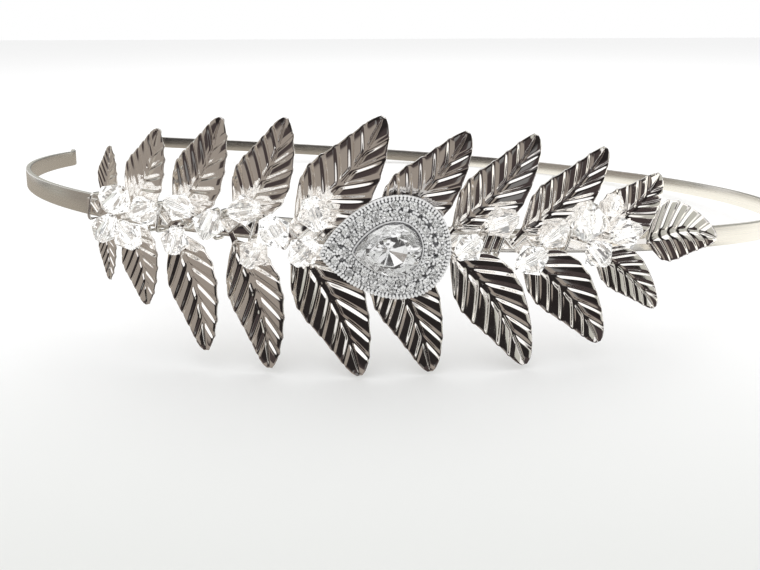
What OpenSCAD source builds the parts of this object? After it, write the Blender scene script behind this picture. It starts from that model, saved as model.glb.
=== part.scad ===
// Rhinestone headband: a sprung steel strip that carries a stamped leaf branch, cut crystals
// and a pear cluster. It lies on a table, on the tips of its lower leaves and on its back arm.
// +Z is up, -Y faces the decorated front, and +X runs along the front arm towards the crown.
// Distances along the front arm are measured from the middle of the crown.

/* [Band] */
// Height of the steel strip
band_w = 3; // [2:0.1:4]
// Thickness of the steel strip
band_t = 0.8; // [0.5:0.05:1]
// Radius of the bend at the crown
crown_r = 51; // [48:0.5:56]
// Angle of the crown's bend, on each side of its middle
crown_deg = 46.4; // [40:0.1:50]
// Radius of both sides, next to the crown
side_r = 94.5; // [88:0.5:100]
// Angle of each side
side_deg = 43.4; // [38:0.1:46]
// Radius of the front arm, under the leaves
front_r = 63; // [58:0.5:70]
// Angle of the front arm
front_deg = 85.2; // [76:0.1:90]
// Radius of the back arm
back_r = 216; // [180:1:240]
// Angle of the back arm
back_deg = 17.6; // [14:0.1:22]
// Radius of the outward bend at both tips
tip_r = 8; // [6:0.5:12]
// Angle of the outward bend at both tips
tip_deg = 30; // [15:1:40]
// Straight length of each tip, before its round end
tab_len = 2; // [1:0.1:4]

/* [Leaf branch] */
// Width of the stem
stem_w = 2.2; // [1.6:0.1:2.6]
// Thickness of the stem
stem_t = 0.7; // [0.5:0.05:0.9]
// Thickness of the leaf sheet
leaf_t = 0.45; // [0.3:0.05:0.5]
// Length of the stalk between the stem and a blade
stalk_len = 2; // [1:0.1:2.5]
// Width of the stalk
stalk_w = 0.9; // [0.6:0.1:1.2]
// Width of a blade, as a share of its length
blade_ratio = 0.46; // [0.36:0.01:0.48]
// Rise of the blade's tip towards the front, as a share of its length
blade_flare = 0.22; // [0.1:0.01:0.26]
// Fold of each half blade back from the midrib, as a slope
blade_fold = 0.2; // [0:0.01:0.3]
// Height of the raised side veins
vein_h = 0.25; // [0.1:0.01:0.35]
// Side veins on each half of a blade
vein_count = 6; // [4:1:7]

/* [Crystals] */
// Radius of the hole drilled along a crystal
bore_r = 0.42; // [0.35:0.01:0.5]
// Length of a crystal, as a share of its diameter
crystal_ratio = 0.92; // [0.8:0.01:1]

/* [Pear cluster] */
// Length of the cluster, from its point to its round end
cluster_len = 15.8; // [14.8:0.1:16.2]
// Width of the cluster
cluster_w = 12.6; // [12:0.1:13.2]
// Width of the rim round the stones
rim = 0.4; // [0.3:0.05:0.4]
// Diameter of a small round stone
round_d = 1; // [0.8:0.01:1]
// Distance between neighbouring round stones
round_pitch = 1.12; // [1.12:0.01:1.5]
// Length of the pear stone
pear_len = 8; // [7.4:0.1:8]
// Width of the pear stone
pear_w = 6.2; // [5.6:0.1:6.2]

/* [Wire] */
// Diameter of the wire in the crystals and round the stem
wire_d = 0.4; // [0.3:0.05:0.45]

/* [Lying pose] */
// Turn of the headband on the table, seen from above
turn_deg = -7.1; // [-12:0.1:0]
// Rise of the front arm over the back arm
lean_deg = 6.2; // [5:0.1:9]
// Fall of the crown below the tips
fall_deg = 3.3; // [0:0.1:5]

/* [Hidden] */
CRYSTAL_COUNT = 20;
function two_digits(i) = str(i < 10 ? "0" : "", i);

clearance = 0.1;

// Chains of [radius, degrees] arcs from the crown to each tip; a negative radius bends outwards
FRONT_ARCS = [[crown_r, crown_deg], [side_r, side_deg], [front_r, front_deg], [-tip_r, tip_deg]];
BACK_ARCS = [[crown_r, crown_deg], [side_r, side_deg], [back_r, back_deg], [-tip_r, tip_deg]];

// Leaf pairs: joint on the stem, upper blade length and angle, lower blade length and angle
LEAF_PAIRS = [
    [73.7, 10.5, 49, 11.5, -36],
    [83.5, 13.5, 52, 15.0, -46],
    [92.2, 14.5, 55, 16.5, -53],
    [101.5, 15.5, 51, 16.3, -61],
    [111.5, 17.0, 51, 17.8, -57],
    [118.9, 14.5, 58, 16.5, -67],
    [127.5, 15.0, 52, 15.5, -63],
    [135.0, 13.5, 49, 11.0, -59],
    [139.5, 8.5, 58, 8.0, -66]
];
// Leaf at the stem's end: joint, blade length, angle and lift off the strip
END_LEAF = [66, 9.5, 4, 5];

// Crystals: distance along the arm, height, distance out, diameter, turn and lean of the hole
CRYSTALS = [
    [135.4, -1.9, 3.6, 4.0, 60, 8],
    [133.3, 2.2, 3.9, 4.4, 38, -6],
    [131.0, -2.1, 4.4, 4.0, -52, 10],
    [128.4, 1.4, 4.5, 4.0, 25, 0],
    [124.8, -2.0, 3.6, 3.8, 75, 5],
    [124.0, 2.3, 3.8, 3.8, -20, 10],
    [120.0, 0.6, 4.2, 4.0, 65, -8],
    [115.8, 2.7, 3.7, 4.0, 12, 5],
    [112.0, 0.6, 5.0, 4.4, -58, 0],
    [114.6, -2.5, 3.9, 4.0, 58, 8],
    [107.6, 2.9, 3.8, 4.4, -68, 0],
    [108.7, -1.7, 4.0, 4.2, 50, 10],
    [89.6, -0.2, 3.8, 3.8, 40, 0],
    [86.0, 3.0, 3.9, 4.2, 20, 5],
    [81.9, -1.6, 4.0, 4.2, 32, -8],
    [79.2, 1.6, 3.6, 4.0, 40, 0],
    [75.6, 3.4, 4.6, 5.0, -75, 25],
    [73.2, -0.8, 4.0, 4.0, -40, 5],
    [69.6, 1.8, 3.9, 4.2, 15, 0],
    [71.4, 5.2, 3.1, 3.0, 80, 0]
];

// Places along the arm where the binding wire goes round band and stem
WRAPS = [
    141.0, 129.8, 128.7, 121.3, 120.2, 115.6, 114.5, 105.4,
    104.2, 94.6, 93.4, 87.1, 86.0, 84.9, 77.2, 76.1
];
wrap_lean = 0.5;

// Pear cluster on the arm: distance along, height and angle of its long axis
CLUSTER_AT = [99.3, -0.8];
cluster_deg = 8;

// Longest steps of the strip's outline along a bend
step_deg = 3.5;
step_len = 5;

// Stem: inner and outer face over the middle of the strip, ends and number of straight runs,
// how far the stalks stand out of its face and reach back over the joint, and how much lower
// the stalks of the lower leaves lie
stalk_proud = 0.08;
stalk_back = 0.3;
lower_back = 0.04;
stem_in = band_t / 2 + clearance;
stem_out = stem_in + stem_t;
stem_from = END_LEAF[0];
stem_to = 142;
stem_parts = 14;
leaf_in = stem_out - leaf_t + stalk_proud;

// Blade: half width at its tip, power of its outline, sweep of its veins as a share of its
// length, width left at a notch between two veins, and height of the midrib next to a vein's
tip_half = 0.06;
outline_power = 0.78;
vein_sweep = 0.2;
notch = 0.95;
midrib_share = 0.3;

// Crystals: width of the flat round the hole, how far the wire stands out of the hole, and
// where it bends back towards the stem
end_flat = 0.3;
wire_end = 0.3;
bend_out = 0.12;
bend_back = 0.2;

// Setting: foot on the stem, plate and the walls on it
foot_in = stem_out + clearance;
foot_len = 7;
foot_w = 2.8;
plate_in = 3.0;
plate_t = 0.7;
wall_h = 0.8;
inner_rim = 0.3;
plate_out = plate_in + plate_t;
pear_power = 0.6;
pear_steps = 48;

// Pear stone's shift to the cluster's round end
stone_shift = 0.3;

// Small round stone: depth below its girdle, height above it and its table's share of the width
round_depth = 0.4;
round_crown = 0.22;
round_table = 0.6;
stones_at = plate_out + clearance + round_depth;

// Cut of the pear stone from its culet to its table: share of the outline, height
PEAR_CUT = [[0.08, 0], [0.6, 0.55], [1, 1.2], [1, 1.45], [0.82, 2.0], [0.56, 2.4]];

// Vector of length 1
function unit(v) = v / norm(v);

// Point and heading [x, y, degrees] a distance along a chain of arcs
function walk(arcs, dist, i = 0, at = [0, 0, 0]) =
    let (
        r = arcs[i][0],
        full = arc_length(arcs[i]),
        stop = dist <= full || i == len(arcs) - 1,
        turn = sign(r) * arcs[i][1] * (stop ? dist / full : 1),
        next = [
            at.x + r * (cos(at.z + turn) - cos(at.z)),
            at.y + r * (sin(at.z + turn) - sin(at.z)),
            at.z + turn
        ]
    )
    stop ? next : walk(arcs, dist - full, i + 1, next);

function arc_length(arc) = abs(arc[0]) * arc[1] * PI / 180;
function length_before(arcs, n) = n == 0 ? 0 : arc_length(arcs[n - 1]) + length_before(arcs, n - 1);
function chain_length(arcs) = length_before(arcs, len(arcs));

// Middle of the front arm in plan at a distance from the crown, and the direction to the crown
function arm_point(dist) = let (w = walk(FRONT_ARCS, dist)) [w.x, -w.y, 0];
function arm_angle(dist) = 90 - walk(FRONT_ARCS, dist).z;

// Point given along, up and out at one place on the arm, in the band's own frame
function on_arm_point(dist, p) =
    let (a = arm_angle(dist))
    arm_point(dist) + [cos(a) * p.x + sin(a) * p.z, sin(a) * p.x - cos(a) * p.z, p.y];

// Local X runs to the crown, local Y is up and local Z points out, to the decorated side
module on_arm(dist) {
    translate(arm_point(dist)) rotate([90, 0, arm_angle(dist)]) children();
}

// The band's frame, turned, leant back and lowered until it touches the table
function rot_x(a, p) = [p.x, p.y * cos(a) - p.z * sin(a), p.y * sin(a) + p.z * cos(a)];
function rot_y(a, p) = [p.x * cos(a) + p.z * sin(a), p.y, -p.x * sin(a) + p.z * cos(a)];
function rot_z(a, p) = [p.x * cos(a) - p.y * sin(a), p.x * sin(a) + p.y * cos(a), p.z];
function lying(p) = rot_x(-lean_deg, rot_y(fall_deg, rot_z(turn_deg, p)));

// One corner of a blade's tip
function blade_end(joint, blade, deg, side, t) =
    let (
        rise = blade_flare * blade - blade_fold * tip_half,
        p = rot_z(deg, [stalk_len + blade, side * tip_half, rise + t])
    )
    on_arm_point(joint, p + [0, 0, leaf_in - (deg < 0 ? lower_back : 0)]);
EXTREMES = concat(
    [for (state = band_run(), side = [-1, 1], edge = [-1, 1])
        let (p = beside(state, side * band_t / 2)) [p.x, p.y, edge * band_w / 2]],
    [for (pair = LEAF_PAIRS, side = [-1, 1], t = [0, leaf_t])
        blade_end(pair[0], pair[1], pair[2], side, t)],
    [for (pair = LEAF_PAIRS, side = [-1, 1], t = [0, leaf_t])
        blade_end(pair[0], pair[3], pair[4], side, t)]
);
PLACED = [for (p = EXTREMES) lying(p)];
function low(axis) = min([for (p = PLACED) p[axis]]);
function high(axis) = max([for (p = PLACED) p[axis]]);
SHIFT = [-(low(0) + high(0)) / 2, -(low(1) + high(1)) / 2, -low(2)];

module lie() {
    translate(SHIFT) rotate([-lean_deg, 0, 0]) rotate([0, fall_deg, 0]) rotate([0, 0, turn_deg])
        children();
}

// Closed skin through rings of points that all have the same number of points
module skin(rings, closed = false) {
    k = len(rings[0]);
    n = len(rings);
    sides = [for (i = [0 : n - (closed ? 1 : 2)], j = [0 : k - 1], half = [0, 1])
        let (a = i * k, b = ((i + 1) % n) * k, j2 = (j + 1) % k)
        half == 0 ? [a + j, a + j2, b + j2] : [a + j, b + j2, b + j]];
    caps = closed ? [] : [[for (j = [k - 1 : -1 : 0]) j], [for (j = [0 : k - 1]) (n - 1) * k + j]];
    polyhedron(points = [for (ring = rings) each ring], faces = concat(sides, caps));
}

// Round wire through points that lie in or near one plane with the given normal
function direction(pts, i, closed) =
    let (
        n = len(pts),
        before = closed ? (i + n - 1) % n : max(i - 1, 0),
        after = closed ? (i + 1) % n : min(i + 1, n - 1)
    )
    unit(pts[after] - pts[before]);
module wire(pts, normal, closed = false) {
    sides = 6;
    skin([for (i = [0 : len(pts) - 1])
        let (t = direction(pts, i, closed), u = unit(cross(normal, t)), v = cross(t, u))
        [for (j = [0 : sides - 1]) let (a = 360 * j / sides)
            pts[i] + wire_d / 2 * (cos(a) * u - sin(a) * v)]
    ], closed);
}

// Walk states along one arm, close enough together for a smooth strip
function arc_steps(arc) = ceil(max(arc[1] / step_deg, arc_length(arc) / step_len));
function arm_states(arcs) = concat(
    [[0, 0, 0]],
    [for (i = [0 : len(arcs) - 1], k = [1 : arc_steps(arcs[i])])
        walk(arcs, length_before(arcs, i) + arc_length(arcs[i]) * k / arc_steps(arcs[i]))]
);
function beside(state, out) = [state.x + out * cos(state.z), state.y + out * sin(state.z)];
function beyond(state, dist) = [state.x - dist * sin(state.z), state.y + dist * cos(state.z), state.z];

// Walk states from the front tip round the crown to the back tip, with the straight tabs
function arm_run(arcs) = let (states = arm_states(arcs))
    concat(states, [beyond(states[len(states) - 1], tab_len + band_w / 2)]);
function band_run() =
    let (front = arm_run(FRONT_ARCS))
    concat(
        [for (i = [len(front) - 1 : -1 : 1]) [front[i].x, -front[i].y, -front[i].z]],
        arm_run(BACK_ARCS));

// What is cut off to round the end of a tab
module tip_corners(arcs) {
    tip = beyond(walk(arcs, chain_length(arcs)), tab_len);
    translate([tip.x, tip.y, 0]) rotate([0, 0, tip.z]) rotate([0, 90, 0]) difference() {
        translate([-band_w, 0, -band_w]) cube([2 * band_w, band_w, 2 * band_w]);
        cylinder(d = band_w, h = 4 * band_w, center = true, $fn = 48);
    }
}

module headband() {
    run = band_run();
    outline = concat(
        [for (state = run) beside(state, band_t / 2)],
        [for (i = [len(run) - 1 : -1 : 0]) beside(run[i], -band_t / 2)]);
    color("silver") lie() difference() {
        translate([0, 0, -band_w / 2]) linear_extrude(band_w) polygon(outline);
        tip_corners(BACK_ARCS);
        mirror([0, 1, 0]) tip_corners(FRONT_ARCS);
    }
}

// Half width of a blade at a share of its length, pointed at the tip
function blade_half(blade, m) =
    max(blade * blade_ratio / 2 * sin(180 * pow(m, outline_power)), m < 0.5 ? stalk_w / 2 : tip_half);

// A leaf that points along X: a stalk, then a blade with a raised midrib and side veins.
// Its stations are chevrons, so that each vein is a ridge between two of them.
module leaf(blade) {
    stations = 2 * vein_count + 1;
    across = [-1, -0.5, 0, 0.5, 1];
    function station(i, t) =
        let (
            a = i / stations,
            m = a + vein_sweep * sin(180 * a),
            half = blade_half(blade, m) * (i % 2 == 0 && i > 0 && i < stations ? notch : 1)
        )
        [for (v = across)
            let (
                x = blade * (a + (m - a) * abs(v)),
                ridge = i % 2 == 1 && i < stations ? vein_h * (v == 0 ? midrib_share : 1) : 0
            )
            [
                stalk_len + x, v * half,
                blade_flare * x * x / blade - blade_fold * abs(v) * half + ridge + t
            ]];
    function stalk(x, t) = [for (v = across) [x, v * stalk_w / 2, t]];
    function ring(low_row, high_row) =
        concat(high_row, [for (j = [len(across) - 1 : -1 : 0]) low_row[j]]);
    skin(concat(
        [ring(stalk(-stalk_back, 0), stalk(-stalk_back, leaf_t))],
        [for (i = [0 : stations]) ring(station(i, 0), station(i, leaf_t))]
    ));
}

// The stem: a flat strip that follows the arm in straight runs
module stem() {
    run = (stem_to - stem_from) / stem_parts;
    slice = 0.1;
    for (i = [0 : stem_parts - 1])
        hull()
            for (dist = [stem_from + i * run, stem_from + (i + 1) * run])
                on_arm(dist) translate([-slice / 2, -stem_w / 2, stem_in])
                    cube([slice, stem_w, stem_t]);
}

module leaf_branch() {
    color("gainsboro") lie() {
        stem();
        for (pair = LEAF_PAIRS) {
            on_arm(pair[0]) translate([0, 0, leaf_in]) rotate([0, 0, pair[2]]) leaf(pair[1]);
            on_arm(pair[0]) translate([0, 0, leaf_in - lower_back]) rotate([0, 0, pair[4]]) leaf(pair[3]);
        }
        on_arm(END_LEAF[0]) translate([0, 0, leaf_in]) rotate([0, -END_LEAF[3], END_LEAF[2]])
            leaf(END_LEAF[1]);
    }
}

// Places children at a crystal, with the drilled hole along local X
module at_crystal(row) {
    on_arm(row[0]) translate([0, row[1], row[2]]) rotate([0, 0, row[4]]) rotate([0, row[5], 0])
        children();
}

// A cut crystal bead: two cones of eight facets, drilled from point to point
module crystal(d) {
    half = d * crystal_ratio / 2;
    end = bore_r + end_flat;
    rotate([0, 90, 0]) rotate_extrude($fn = 8)
        polygon([[bore_r, -half], [end, -half], [d / 2, 0], [end, half], [bore_r, half]]);
}

module crystal_node(i) {
    color("white") lie() at_crystal(CRYSTALS[i]) crystal(CRYSTALS[i][3]);
}

// The wire of one crystal: through its hole, then back to the front of the stem
module crystal_stem(row) {
    reach = row[3] * crystal_ratio / 2 + wire_end;
    axis = rot_z(row[4], rot_y(row[5], [1, 0, 0]));
    middle = [0, row[1], row[2]];
    side = row[1] * axis.y > 0 ? -1 : 1;
    inner = middle + side * reach * axis;
    seat_max = (stem_w - wire_d) / 2;
    seat = max(-seat_max, min(seat_max, inner.y));
    foot = [inner.x, seat, stem_out + clearance + wire_d / 2];
    bend = inner + bend_out * side * axis + bend_back * (foot - inner);
    on_arm(row[0])
        wire([middle - side * reach * axis, inner, bend, foot], cross(side * axis, foot - inner));
}

module crystal_wire() {
    color("silver") lie() for (row = CRYSTALS) crystal_stem(row);
}

// One turn of wire round the band and the stem, leaning at the front
module wrap() {
    r = wire_d / 2 + clearance;
    top = band_w / 2 + r;
    back = -band_t / 2 - r;
    front = stem_out + r;
    round_off = 0.35;
    wire([
        [wrap_lean, top - round_off, front], [-wrap_lean, round_off - top, front],
        [-wrap_lean, -top, front - round_off], [-wrap_lean / 2, -top, back + round_off],
        [-wrap_lean / 2, round_off - top, back], [wrap_lean / 2, top - round_off, back],
        [wrap_lean / 2, top, back + round_off], [wrap_lean, top, front - round_off]
    ], [1, 0, 0], closed = true);
}

module binding_wire() {
    color("silver") lie() for (dist = WRAPS) on_arm(dist) wrap();
}

// Outline of a pear that lies along X with its point at -X
function pear(length, width, steps) =
    let (
        shape = [for (i = [0 : steps - 1]) let (t = 360 * i / steps)
            [-length / 2 * cos(t), sin(t) * pow(abs(sin(t / 2)), pear_power)]],
        widest = max([for (p = shape) p.y])
    )
    [for (p = shape) [p.x, p.y * width / 2 / widest]];

CLUSTER_EDGE = pear(cluster_len, cluster_w, pear_steps);
STONE_EDGE = [for (p = pear(pear_len, pear_w, pear_steps)) p + [stone_shift, 0]];

// Outline parallel to a clockwise one, inside it, or outside it for a negative inset
function parallel(pts, inset) =
    let (n = len(pts))
    [for (i = [0 : n - 1])
        let (t = unit(pts[(i + 1) % n] - pts[(i + n - 1) % n]), q = pts[i] + inset * [t.y, -t.x])
        if (inset <= 0 || min([for (p = pts) norm(p - q)]) > 0.97 * inset) q];

module at_cluster(out) {
    on_arm(CLUSTER_AT[0]) translate([0, CLUSTER_AT[1], out]) rotate([0, 0, cluster_deg]) children();
}

// Wall of one thickness on the plate, inside an outline
module pear_wall(edge, inset, t) {
    linear_extrude(plate_t + wall_h) difference() {
        polygon(parallel(edge, inset));
        polygon(parallel(edge, inset + t));
    }
}

// Setting: a plate with an outer rim and a rim round the pear stone, on a foot that sits on the stem
module pear_setting() {
    color("silver") lie() {
        at_cluster(plate_in) {
            linear_extrude(plate_t) polygon(CLUSTER_EDGE);
            pear_wall(CLUSTER_EDGE, 0, rim);
            pear_wall(STONE_EDGE, -clearance - inner_rim, inner_rim);
        }
        on_arm(CLUSTER_AT[0]) translate([-foot_len / 2, -foot_w / 2, foot_in])
            cube([foot_len, foot_w, plate_in + plate_t / 2 - foot_in]);
    }
}

// Pear stone, cut as rings of facets from the small culet to the table
module pear_stone() {
    outline = pear(pear_len, pear_w, 16);
    color("white") lie() at_cluster(plate_out + clearance)
        skin([for (level = PEAR_CUT)
            [for (p = outline) [p.x * level[0] + stone_shift, p.y * level[0], level[1]]]]);
}

// Points at equal steps along a closed outline
function run_lengths(pts) =
    let (n = len(pts))
    [for (i = 0, s = 0; i <= n; s = s + norm(pts[(i + 1) % n] - pts[i % n]), i = i + 1) s];
function equal_steps(pts, pitch) =
    let (
        runs = run_lengths(pts),
        total = runs[len(pts)],
        count = floor(total / pitch),
        xs = [for (i = [0 : len(pts)]) [runs[i], pts[i % len(pts)].x]],
        ys = [for (i = [0 : len(pts)]) [runs[i], pts[i % len(pts)].y]]
    )
    [for (i = [0 : count - 1]) let (s = i * total / count) [lookup(s, xs), lookup(s, ys)]];

// A small round stone with a table and eight facets on each side of its girdle
module round_stone() {
    rotate_extrude($fn = 8)
        polygon([
            [0, -round_depth], [round_d / 2, 0],
            [round_d / 2 * round_table, round_crown], [0, round_crown]
        ]);
}

module halo_stones() {
    outer_row = parallel(CLUSTER_EDGE, rim + clearance + round_d / 2);
    inner_row = parallel(STONE_EDGE, -2 * clearance - inner_rim - round_d / 2);
    color("white") lie() at_cluster(stones_at)
        for (row = [outer_row, inner_row], p = equal_steps(row, round_pitch))
            translate([p.x, p.y, 0]) round_stone();
}

headband();
leaf_branch();
crystal_wire();
binding_wire();
pear_setting();
pear_stone();
halo_stones();
for (i = [1 : CRYSTAL_COUNT])
    crystal_node(i - 1);
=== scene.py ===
# %% [markdown]
# # Rhinestone headband
# A sprung steel strip carries a stamped, silver-plated leaf branch. Clear cut beads sit along
# the stem, and a pear-shaped rhinestone cluster sits in the middle. This lesson models each
# piece by the steps of the real work, gives it its finish, and lights it on a white table.
#
# The frame holds the plain solids of the part, which give the places and the main sizes. So it
# is loaded first, and the box of the band's solid is printed beside the finished strip's.

# %% Load the frame
import math
import bmesh
import bpy
from mathutils import Matrix, Vector


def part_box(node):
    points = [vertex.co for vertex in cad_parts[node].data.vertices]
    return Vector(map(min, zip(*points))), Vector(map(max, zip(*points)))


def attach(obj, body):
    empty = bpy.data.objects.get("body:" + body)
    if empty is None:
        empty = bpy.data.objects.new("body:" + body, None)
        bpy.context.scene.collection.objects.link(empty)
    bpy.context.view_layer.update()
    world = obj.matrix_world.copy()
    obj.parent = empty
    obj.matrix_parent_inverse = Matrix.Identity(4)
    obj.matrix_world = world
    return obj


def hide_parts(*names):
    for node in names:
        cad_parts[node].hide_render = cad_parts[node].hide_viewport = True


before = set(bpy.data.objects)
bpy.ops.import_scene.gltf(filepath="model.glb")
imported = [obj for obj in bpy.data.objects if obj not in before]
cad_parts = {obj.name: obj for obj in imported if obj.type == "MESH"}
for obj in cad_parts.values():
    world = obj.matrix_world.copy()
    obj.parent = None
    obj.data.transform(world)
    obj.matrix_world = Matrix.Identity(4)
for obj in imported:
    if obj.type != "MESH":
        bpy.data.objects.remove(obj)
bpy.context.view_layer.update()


def mm(point):
    """A place in metres as rounded millimetres, for printing."""
    return [round(c * 1000, 2) for c in point]


# %% [markdown]
# ## The curve of the band
# The real strip is bent round formers, so it is a chain of true arcs, each of which joins the
# next without a kink. From the middle of the crown the front arm and the back arm share their
# first two arcs, and the last arc of each turns its tip outwards. Walking along the chain gives
# a place for everything that is fastened to the front arm.

# %% Arcs of the strip
# An arc is its radius in millimetres and the degrees that it turns; a minus bends outwards
CROWN, SIDE, FRONT, BACK, TIP = (51, 46.4), (94.5, 43.4), (63, 85.2), (216, 17.6), (-8, 30)
FRONT_ARCS = [CROWN, SIDE, FRONT, TIP]
BACK_ARCS = [CROWN, SIDE, BACK, TIP]


def walk(arcs, dist):
    """Point and heading (x, y, radians) a distance from the crown along a chain of arcs."""
    x = y = heading = 0.0
    for n, (r, degrees) in enumerate(arcs):
        full = abs(r) * math.radians(degrees)
        here = dist if n == len(arcs) - 1 else min(dist, full)
        turn = here / r
        x += r * (math.cos(heading + turn) - math.cos(heading))
        y += r * (math.sin(heading + turn) - math.sin(heading))
        heading += turn
        dist -= here
        if dist <= 0:
            break
    return x, y, heading


for arm, arcs in (("front", FRONT_ARCS), ("back", BACK_ARCS)):
    print(arm, "arm:", round(sum(abs(r) * math.radians(d) for r, d in arcs), 1), "mm of arcs")

# %% [markdown]
# ## Laying the band down
# Most pieces are easier to model in millimetres in the band's own frame, where the strip stands
# upright on its edge. One matrix then turns, leans and lowers them onto the table, and brings
# millimetres to metres. The front arm leans up a little, and the crown lies lower than the tips.

# %% The matrix that lays the band down
TURN, LEAN, FALL = -7.1, -6.2, 3.3
ORIGIN = (72.5556, -7.5288, 5.9702)
METRES = 0.001


def turned(axis, degrees):
    return Matrix.Rotation(math.radians(degrees), 4, axis)


def at(x, y, z):
    return Matrix.Translation((x, y, z))


LIE = (Matrix.Scale(METRES, 4) @ at(*ORIGIN)
       @ turned("X", LEAN) @ turned("Y", FALL) @ turned("Z", TURN))


def on_arm(dist):
    """Place on the front arm: local X runs to the crown, Y is up and Z points outwards."""
    x, y, heading = walk(FRONT_ARCS, dist)
    return at(x, -y, 0) @ turned("Z", 90 - math.degrees(heading)) @ turned("X", 90)


print("100 mm along the front arm:", mm(LIE @ on_arm(100).translation))

# %% [markdown]
# ## The camera
# The photograph looks down a little, from close by, so the near leaves are large and the arms
# shrink quickly. The place, the direction and the lens were worked out beforehand, by lining up
# the height and the middle line of the strip with the picture at many places.

# %% Camera
EYE = (-0.000926, -0.14161, 0.041634)
RIGHT, AHEAD = (0.9999, 0.0148, -0.004), (-0.0153, 0.93, -0.3671)
SENSOR_MM, LENS_MM, NEAREST = 36, 32.44, 0.005
ahead = Vector(AHEAD).normalized()
up = Vector(RIGHT).normalized().cross(ahead).normalized()
right = ahead.cross(up)
camera = bpy.data.objects.new("camera", bpy.data.cameras.new("camera"))
bpy.context.scene.collection.objects.link(camera)
camera.matrix_world = Matrix((
    (right.x, up.x, -ahead.x, EYE[0]),
    (right.y, up.y, -ahead.y, EYE[1]),
    (right.z, up.z, -ahead.z, EYE[2]),
    (0, 0, 0, 1)))
camera.data.sensor_width, camera.data.lens = SENSOR_MM, LENS_MM
camera.data.clip_start = NEAREST
bpy.context.scene.camera = camera
print("camera looks down", round(math.degrees(math.asin(-ahead.z)), 1), "degrees")

# %% [markdown]
# ## Helpers for colours and nodes
# Every colour is written as the sRGB hex value that a colour picker shows, and one function
# turns it to linear light. One more adds a node with its settings and links, one starts a
# material, and one gives a colour ramp its stops.

# %% Colour and node helpers


def colour(hex_value):
    """Linear red, green, blue and alpha of an sRGB hex value, by the sRGB standard's curve."""
    parts = [int(hex_value[i:i + 2], 16) / 255 for i in (1, 3, 5)]
    return [c / 12.92 if c <= 0.04045 else ((c + 0.055) / 1.055) ** 2.4 for c in parts] + [1.0]


def add(tree, kind, inputs=None, **settings):
    """Adds a node; an input is a value, or another node's output socket to link."""
    node = tree.nodes.new(kind)
    for name, value in settings.items():
        setattr(node, name, value)
    for name, value in (inputs or {}).items():
        if isinstance(value, bpy.types.NodeSocket):
            tree.links.new(value, node.inputs[name])
        else:
            node.inputs[name].default_value = value
    return node


def new_material(name):
    material = bpy.data.materials.new(name)
    material.use_nodes = True
    tree = material.node_tree
    return material, tree, tree.nodes["Principled BSDF"], tree.nodes["Material Output"]


def fill_stops(colour_ramp, stops):
    """Gives a colour ramp its stops, each a position and an sRGB hex value."""
    while len(colour_ramp.elements) < len(stops):
        colour_ramp.elements.new(0.5)
    for element, (position, shade) in zip(colour_ramp.elements, stops):
        element.position = position
        element.color = colour(shade)


print("mid grey in linear light:", round(colour("#808080")[0], 3))

# %% [markdown]
# ## The room that silver shows
# Silver plate has almost no colour of its own: it shows the room. In an all-white studio the
# leaves would vanish against the table, so mirror rays see a simple made-up room: sand-coloured
# things at the left, brown and dark things in front, a window on each side, and a bright ceiling
# that puts white bars on the ribs of the leaves.
#
# The room has a few broad surfaces. Each level starts at a height, from -1 straight down to 1
# straight up, and each surface at a compass direction in degrees, where 0 is the camera's side,
# minus is left and plus is right.

# %% Surfaces of the room
WHITE, PALE, SAND, GREY = "#ffffff", "#c8c8c0", "#a09890", "#808080"
BROWN, DARK = "#484040", "#282424"
LEFT_WINDOW = [(-180, GREY), (-160, PALE), (-150, WHITE), (-125, GREY), (-115, PALE)]
RIGHT_WINDOW = [(50, WHITE), (65, BROWN), (90, PALE), (120, GREY), (140, PALE), (160, GREY)]
FLOOR = [(-105, SAND), (0, BROWN)]
FURNITURE = [(-105, SAND), (-75, BROWN), (-10, GREY), (5, BROWN)]
WALLS = [(-105, SAND), (-50, DARK), (30, PALE)]
LEVELS = [(-1.0, FLOOR), (-0.3, FURNITURE), (-0.1, WALLS)]
LEVEL_BLUR = 0.02
print("room:", [len(surfaces) for _, surfaces in LEVELS], "surfaces between the windows")

# %% Directions of the world
world = bpy.data.worlds.new("studio")
bpy.context.scene.world = world
world.use_nodes = True
tree = world.node_tree
tree.nodes.clear()
ray = add(tree, "ShaderNodeLightPath")
coords = add(tree, "ShaderNodeTexCoord")
aim = add(tree, "ShaderNodeSeparateXYZ", {"Vector": coords.outputs["Generated"]})
height = aim.outputs["Z"]
to_front = add(tree, "ShaderNodeMath", {
    0: aim.outputs["Y"], 1: -1.0}, operation="MULTIPLY").outputs[0]
compass = add(tree, "ShaderNodeMath", {0: aim.outputs["X"], 1: to_front}, operation="ARCTAN2")
around = add(tree, "ShaderNodeMapRange", {
    "Value": compass.outputs[0], "From Min": -math.pi, "From Max": math.pi})

# %% Levels of the room, one over the other
room = None
for start, surfaces in LEVELS:
    level = add(tree, "ShaderNodeValToRGB", {"Fac": around.outputs["Result"]})
    level.color_ramp.interpolation = "CONSTANT"
    full_turn = LEFT_WINDOW + surfaces + RIGHT_WINDOW
    fill_stops(level.color_ramp, [((degrees + 180) / 360, tone) for degrees, tone in full_turn])
    if room is None:
        room = level.outputs["Color"]
        continue
    over = add(tree, "ShaderNodeMapRange", {
        "Value": height, "From Min": start - LEVEL_BLUR, "From Max": start + LEVEL_BLUR})
    room = add(tree, "ShaderNodeMix", {
        "Factor": over.outputs["Result"], 6: room, 7: level.outputs["Color"]},
        data_type="RGBA").outputs[2]

# %% [markdown]
# ## The ceiling
# The bright ceiling starts about halfway up on the camera's side and ends just past straight
# up, so what faces backwards doesn't see it. Its edges are slightly soft, so that the white bars
# on the leaves end softly too.

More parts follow.
